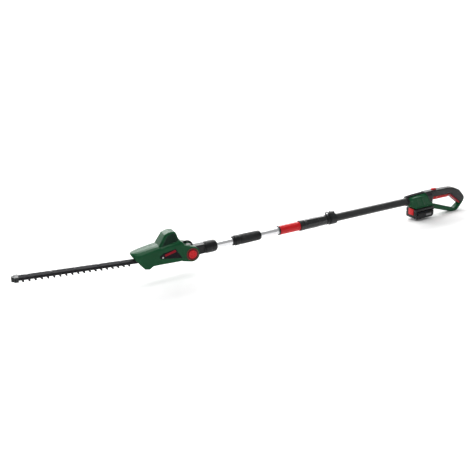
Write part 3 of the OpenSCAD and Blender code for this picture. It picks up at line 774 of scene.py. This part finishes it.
def build_coupling():
    profile = fine(rounded_profile([
        (848, 18.6), (848, 20.4), (851, 21.5), (868, 21.5), (869.5, 20.6), (872, 20.6),
        (873.5, 21.4), (958, 20.6), (964, 20), (968, 17.5), (968, 15.6)
    ], 1.0), 3.0)
    nut = sleeve("coupling_clamp_nut", profile, 15.4, 144, ribbed(24, 0.9, 876, 958))
    place(nut, POLE, "coupling_nut", MATERIALS["black_plastic"], ["coupling_nut"])
    ring = sleeve("coupling_socket", rounded_profile([
        (838, 15.6), (838, 18.6), (840, 19.5), (844, 19.5), (846, 18.6), (846, 18.0), (960, 18.0),
        (960, 15.3)
    ], 0.6), 15.0, 64)
    place(ring, POLE, "inner_pole", MATERIALS["black_plastic"], ["coupling_body"])


def build_lock():
    profile = fine(rounded_profile([
        (1060.5, 18.3), (1060.5, 19.0), (1063, 19.8), (1084, 19.8), (1150, 19.8), (1156, 19.8),
        (1159, 19), (1159, 18.3)
    ], 0.8), 3.0)
    ripple = ribbed(12, 0.8, 1066, 1153)
    collar = sleeve("pole_lock_collar", profile, 18.2, 144, ripple)
    place(collar, POLE, "lock_collar", MATERIALS["red_plastic"], ["lock_collar"])


def build_front_grip():
    ring_end, body_start = 1185, 1191
    profile = fine(rounded_profile([
        (1160, 18.2), (1160, 22), (1162, 23.4), (ring_end - 2, 23.4), (ring_end, 21.4),
        (body_start - 2, 21.4), (body_start, 22.6), (1200, 22.8), (1240, 22.8), (1290, 21.5),
        (1296, 20.4), (1297, 18.2)
    ], 0.9), 2.5)

    def ripple(x, a):
        if x < body_start:
            return 0.0
        fade = min(1.0, (x - body_start) / 8, (1297 - x) / 8)
        rings = -0.35 * max(0.0, math.sin((x - body_start) * 2 * math.pi / 9)) ** 6
        flats = -0.8 * abs(math.cos(4 * a)) ** 4
        return fade * (rings + flats)

    grip = sleeve("front_hand_grip", profile, 18.05, 128, ripple)
    place(grip, POLE, "handle", GRIP, ["front_grip"])


# ---------------------------------------------------------------- handle
# station: x, half width, bottom z, top z; the body's section is rounded at the top
BODY_STATIONS = [
    (1763, 20, -19, 21.5), (1768, 23.5, -22, 22.5), (1778, 27, -27, 23.5), (1800, 28, -37.5, 25),
    (1850, 28, -38, 27.5), (1896, 28, -38, 29), (1904, 27, -37.5, 28.5), (1908, 24, -36, 27)
]
LOOP = [
    (1894, -36), (1911, -37), (1911, -57), (2010, -88), (2057, -100), (2088, -100), (2120, -66),
    (2132, -46), (2126, -30), (2092, 6), (2050, 25), (2007, 29), (1894, 29)
]
HOLE = [(1918, -33), (2074, -86), (2108, -62), (2030, -2), (1918, -2)]
HANDLE_SCREWS = [
    (1800, -28, 28), (1896, 14, 28), (1966, 18, 16), (2104, -30, 16), (2096, -82, 16), (1962, -60, 16)
]
# region of the hand loop and the body's back that the soft skin covers
SKIN = [
    (1866, 60), (1866, 20), (1874, 8), (1883, -10), (1898, -20), (1919, -22), (1919, -4),
    (2031, -4), (2100, -60), (2113, -58), (2124, -40), (2200, -40), (2200, 60)
]


def body_ring(x, w, low, high, grow=0.0):
    """Rounded section of the handle body: upright flanks under a low arched top."""
    w, low, high = w + grow, low - grow, high + grow
    half = [
        (0, low), (w - 6, low), (w - 2, low + 2), (w, low + 6), (w, 10), (w - 0.8, 15),
        (w - 3.5, 19.5), (w - 8.5, high - 5), (w - 14, high - 1.6), (0, high)
    ]
    left = [(-y, z) for y, z in half[-2:0:-1]]
    return [(x, y, z) for y, z in half + left]


def loop_solid(grow):
    """Hand loop with rounded rims; grow makes it fatter all round."""
    outer = inset(soften(LOOP, 12), -grow)
    solid = plate("loop", outer, -16 - grow, 16 + grow, 5, 5)
    inner = inset(soften(HOLE, 7), grow)
    flare = [(y, 7 - math.sqrt(max(0.0, 49 - (abs(y) - 9) ** 2)) if abs(y) > 9 else 0.0)
             for y in (-16.2, -15.5, -14, -12, -9, 9, 12, 14, 15.5, 16.2)]
    rings = [[(x, y * 1.02, z) for x, z in inset(inner, -d)] for y, d in flare]
    rings = [[(x, -30, z) for x, _, z in rings[0]]] + rings + [[(x, 30, z) for x, _, z in rings[-1]]]
    return carved(solid, [stack("hole", rings)])


def build_handle():
    parts = [
        stack("body", [body_ring(*station) for station in BODY_STATIONS]),
        loop_solid(0.0),
        cuboid("dock", (1802, -20, -46), (1904, 20, -36)),
        plate("saddle", soften([(1800, -38), (1806, -38.3), (1905, -38.3), (1907, -33), (1800, -31)], 2),
              -30.5, 30.5, 3),
    ]
    for side in (-1, 1):
        y0, y1 = sorted((side * 24.0, side * 29.8))
        parts.append(plate("rib", soften([(1846, -29), (1855, -29), (1833, 13), (1824, 13)], 3), y0, y1, 2))
        y0, y1 = sorted((side * 24.0, side * 29.0))
        parts.append(plate("rib", soften([(1812, -24), (1819, -24), (1800, 13), (1793, 13)], 3), y0, y1, 1.5))
        parts.append(plate("ledge", soften([(1771, 12), (1862, 14), (1860, 19), (1772, 18)], 2),
                           *sorted((side * 20.0, side * 27.6)), 1.5))
    handle = moulded(joined("handle", parts), 1.0, 3)
    cutters = [
        cuboid("slot", (1938, -7.4, -30), (2034, 7.4, 4)),
        cuboid("slot", (1918.5, -7, 18), (1946.5, 7, 45)),
        moved(plate("bore", circle(0, 0, 18.0, 64), 1700, 1825),
              Matrix.Rotation(math.radians(-90), 4, "Z")),
    ]
    for side in (-1, 1):
        cutters.append(plate("vent", soften([(1857, 14), (1862, 14), (1862, 27), (1857, 27)], 1.5),
                             *sorted((side * 17.0, side * 40.0))))
    for x, z, w in HANDLE_SCREWS:
        cutters.append(plate("recess", circle(x, z, 4, 24), w - 4, 60))
    handle = carved(handle, cutters)
    for side, name, node in ((-1, "left", "handle_shell_left"), (1, "right", "handle_shell_right")):
        shell = half_shell("handle_cover_" + name, handle, side, 2.4)
        place(shell, POLE, "handle", MATERIALS["green_plastic"], [node], 40)
    bpy.data.objects.remove(handle)


def build_skin():
    """Soft skin over the back of the body, the top of the loop and its rear bend."""
    parts = [
        stack("body", [body_ring(*station, 0.6) for station in BODY_STATIONS]),
        loop_solid(0.6),
        plate("pad", soften([(1850, 22), (1962, 22), (1962, 30.5), (1890, 31.5), (1850, 30)], 3), -15, 15, 3),
    ]
    skin = moulded(joined("skin", parts), 1.0, 4)
    skin = kept_within(skin, plate("region", SKIN, -60, 60))
    skin = carved(skin, [
        cuboid("slot", (1938, -7.6, -30), (2034, 7.6, 4)),
        cuboid("slot", (1918, -7.5, 16), (1947, 7.5, 45)),
        plate("core", inset(soften(LOOP, 12), 3.5), -12.5, 12.5, 3),
        stack("core", [body_ring(*station, -2.6) for station in BODY_STATIONS[:-2]]
              + [body_ring(1905, 27, -37.5, 28.5, -2.6)]),
    ])
    skin.name = "handle_soft_skin"
    place(skin, POLE, "handle", MATERIALS["soft_rubber"], ["soft_grip"], 50)

    trim = plate("handle_top_trim", soften([(1760, 19), (1864, 22), (1864, 30), (1800, 27.5), (1760, 24)], 2),
                 -12, 12, 2.5)
    trim = carved(trim, [moved(plate("bore", circle(0, 0, 18.2, 64), 1700, 1866),
                               Matrix.Rotation(math.radians(-90), 4, "Z"))])
    place(trim, POLE, "handle", MATT_BLACK)
    strip = plate("loop_red_strip", soften([(2033, -11), (2037, -3), (2106, -56), (2101, -64)], 1.5),
                  -11, 11, 1.5)
    place(strip, POLE, "handle", BADGE_RED)
    ring = sleeve("nose_collar", rounded_profile(
        [(1756, 18.6), (1756, 19.8), (1759, 21.5), (1764, 22.4), (1769, 22.4), (1769, 18.6)], 1), 18.05, 64)
    place(ring, POLE, "handle", MATERIALS["black_plastic"], ["nose_ring"])


def build_trigger():
    outline = soften([(1923, -13), (1930, -19), (2026, -20), (2030, -8), (1946, -2), (1923, -4)], 2.5)
    trigger = plate("trigger_bar", outline, -7, 7, 2.5)
    place(trigger, POLE, "trigger", MATERIALS["red_plastic"], ["trigger"])
    top = [(1920, 23), (1944, 23), (1944, 35), (1940, 38), (1926, 39), (1922, 37.5), (1920, 34)]
    button = joined("lock_off_slider", [
        plate("cap", soften(top, 2.5), -6.4, 6.4, 1.8),
        cuboid("stem", (1924, -4, 16), (1940, 4, 26)),
    ])
    place(button, POLE, "lock_off_button", MATERIALS["red_plastic"], ["lock_off_button"])


# ---------------------------------------------------------------- battery
def release_window():
    """Cutter for the opening that the release pad sits in."""
    return cuboid("window", (1795, -16.6, -73.4), (1804.5, 16.6, -40))


def build_battery():
    x0, x1, w = 1797.0, 1909.0, 36.0
    lower_outline = soften([
        (x0 + 6, -90), (x1 - 8, -90), (x1, -80), (x1, -58.3), (x0, -58.3), (x0, -82)
    ], 4)
    lower = plate("lower", lower_outline, -w, w, 5, 4)
    lower = carved(lower, [
        cuboid("inside", (x0 + 2.5, 2.5 - w, -87.5), (x1 - 2.5, w - 2.5, -50)),
    ] + [
        plate("groove", soften([(x0 + 14, -z), (x1 - 12, -z), (x1 - 12, 1.6 - z), (x0 + 14, 1.6 - z)], 0.4),
              *sorted((s * (w - 0.7), s * (w + 3))))
        for s in (-1, 1)
        for z in (66, 82)
    ])
    lower = carved(lower, [release_window()])
    lower.name = "battery_lower_shell"
    place(lower, POLE, "battery", MATERIALS["black_plastic"], ["battery_case_lower"])

    upper_outline = soften([(x0, -57.9), (x1, -57.9), (x1, -44), (x1 - 3, -39), (x0 + 4, -39), (x0, -45)], 3)
    upper = plate("upper", upper_outline, -w, w, 3.5, 4)
    upper = carved(upper, [
        cuboid("channel", (1801.7, -20.4, -46.4), (x1 + 5, 20.4, -30)),
        cuboid("socket", (1872, -18.5, -54.5), (x1 + 5, 18.5, -40)),
        cuboid("inside", (x0 + 2.5, 2.5 - w, -70), (x1 - 2.5, w - 2.5, -54.9)),
    ])
    upper = carved(upper, [release_window()])
    upper.name = "battery_upper_shell"
    place(upper, POLE, "battery", MATERIALS["black_plastic"], ["battery_case_upper"])

    for side, name in ((-1, "left"), (1, "right")):
        outline = soften([(x0 + 62, -79), (x0 + 94, -79), (x0 + 94, -70), (x0 + 62, -70)], 1.5)
        label = plate("battery_label_" + name, outline, *sorted((side * (w - 0.5), side * (w + 0.15))))
        place(label, POLE, "battery", GREY_PLASTIC)
    push = joined("battery_release_pad", [
        cuboid("pad", (1794, -16, -72), (1799, 16, -40.5), 2),
    ] + [
        moved(cuboid("rib", (1793.4, -11, -0.7), (1794.6, 11, 0.7), 0.5), Matrix.Translation((0, 0, z)))
        for z in (-67, -62, -57)
    ])
    place(push, POLE, "battery_release", MATERIALS["red_plastic"],
          ["battery_release_button"])


# ---------------------------------------------------------------- scene
def build_stage():
    """Pale floor that curves up into a pale wall far behind the tool."""
    wall_y, bend, reach = 5.0, 2.0, 16.0
    profile = [(-reach, 0.0), (wall_y - bend, 0.0)]
    profile += [
        (wall_y - bend + bend * math.sin(a), bend - bend * math.cos(a))
        for a in [math.pi / 2 * k / 24 for k in range(1, 25)]
    ]
    profile.append((wall_y, 9.0))
    verts = [(x, y, z) for y, z in profile for x in (-reach, reach)]
    faces = [(2 * i, 2 * i + 1, 2 * i + 3, 2 * i + 2) for i in range(len(profile) - 1)]
    floor = make("floor", verts, faces)
    floor.location.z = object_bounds()[0][2] - 0.0005
    floor.data.shade_smooth()
    g = Graph("pale_floor")
    g.link(g.ramp(g.noise(3.0), [(0.3, (0.86, 0.86, 0.86, 1)), (0.7, (0.9, 0.9, 0.9, 1))]),
           g.shader.inputs["Base Color"])
    g.shader.inputs["Roughness"].default_value = 0.9
    floor.data.materials.append(g.material)


def add_light(name, place_m, target_m, size, power):
    data = bpy.data.lights.new(name, "AREA")
    data.shape = "RECTANGLE"
    data.size, data.size_y = size
    data.energy = power
    light = bpy.data.objects.new(name, data)
    light.location = place_m
    direction = Vector(target_m) - Vector(place_m)
    light.rotation_euler = direction.to_track_quat("-Z", "Y").to_euler()
    bpy.context.scene.collection.objects.link(light)


def build_lights():
    world = bpy.data.worlds.new("studio")
    world.use_nodes = True
    background = world.node_tree.nodes["Background"]
    background.inputs["Color"].default_value = (1, 1, 1, 1)
    background.inputs["Strength"].default_value = 0.42
    bpy.context.scene.world = world
    add_light("rear_softbox", (0.9, 3.1, 2.35), (0.5, 0, 0.1), (7.5, 1.9), 230)
    add_light("overhead", (-0.2, 0.2, 2.8), (0, 0, 0.1), (3.4, 1.6), 60)
    add_light("backdrop_wash", (2.5, 2.7, 3.2), (2.5, 5.2, 1.4), (15.0, 1.0), 300)
    add_light("left_fill", (-3.0, -1.2, 1.5), (-0.5, 0, 0.1), (1.2, 1.0), 8)


def build_camera():
    turn, lift, roll = math.radians(24.98), math.radians(20.15), math.radians(3.41)
    forward = Vector((math.sin(turn) * math.cos(lift), math.cos(turn) * math.cos(lift), -math.sin(lift)))
    side = Vector((math.cos(turn), -math.sin(turn), 0))
    up = side.cross(forward)
    right = side * math.cos(roll) - up * math.sin(roll)
    top = side * math.sin(roll) + up * math.cos(roll)
    data = bpy.data.cameras.new("camera")
    data.sensor_width = 36.0
    data.lens = 36.0 * 533 / 470
    data.clip_end = 100
    camera = bpy.data.objects.new("camera", data)
    rotation = Matrix((right, top, -forward)).transposed().to_4x4()
    camera.matrix_world = Matrix.Translation(POLE @ Vector((-5, -1845, 770))) @ rotation
    bpy.context.scene.collection.objects.link(camera)
    bpy.context.scene.camera = camera


build_head()
build_vents()
build_badges()
build_pivot()
build_cable()
build_springs()
build_power_lead()
build_neck()
build_coupling()
build_lock()
build_front_grip()
build_handle()
build_skin()
build_trigger()
build_battery()
build_stage()
build_lights()
build_camera()
bpy.context.scene.view_settings.view_transform = "Standard"
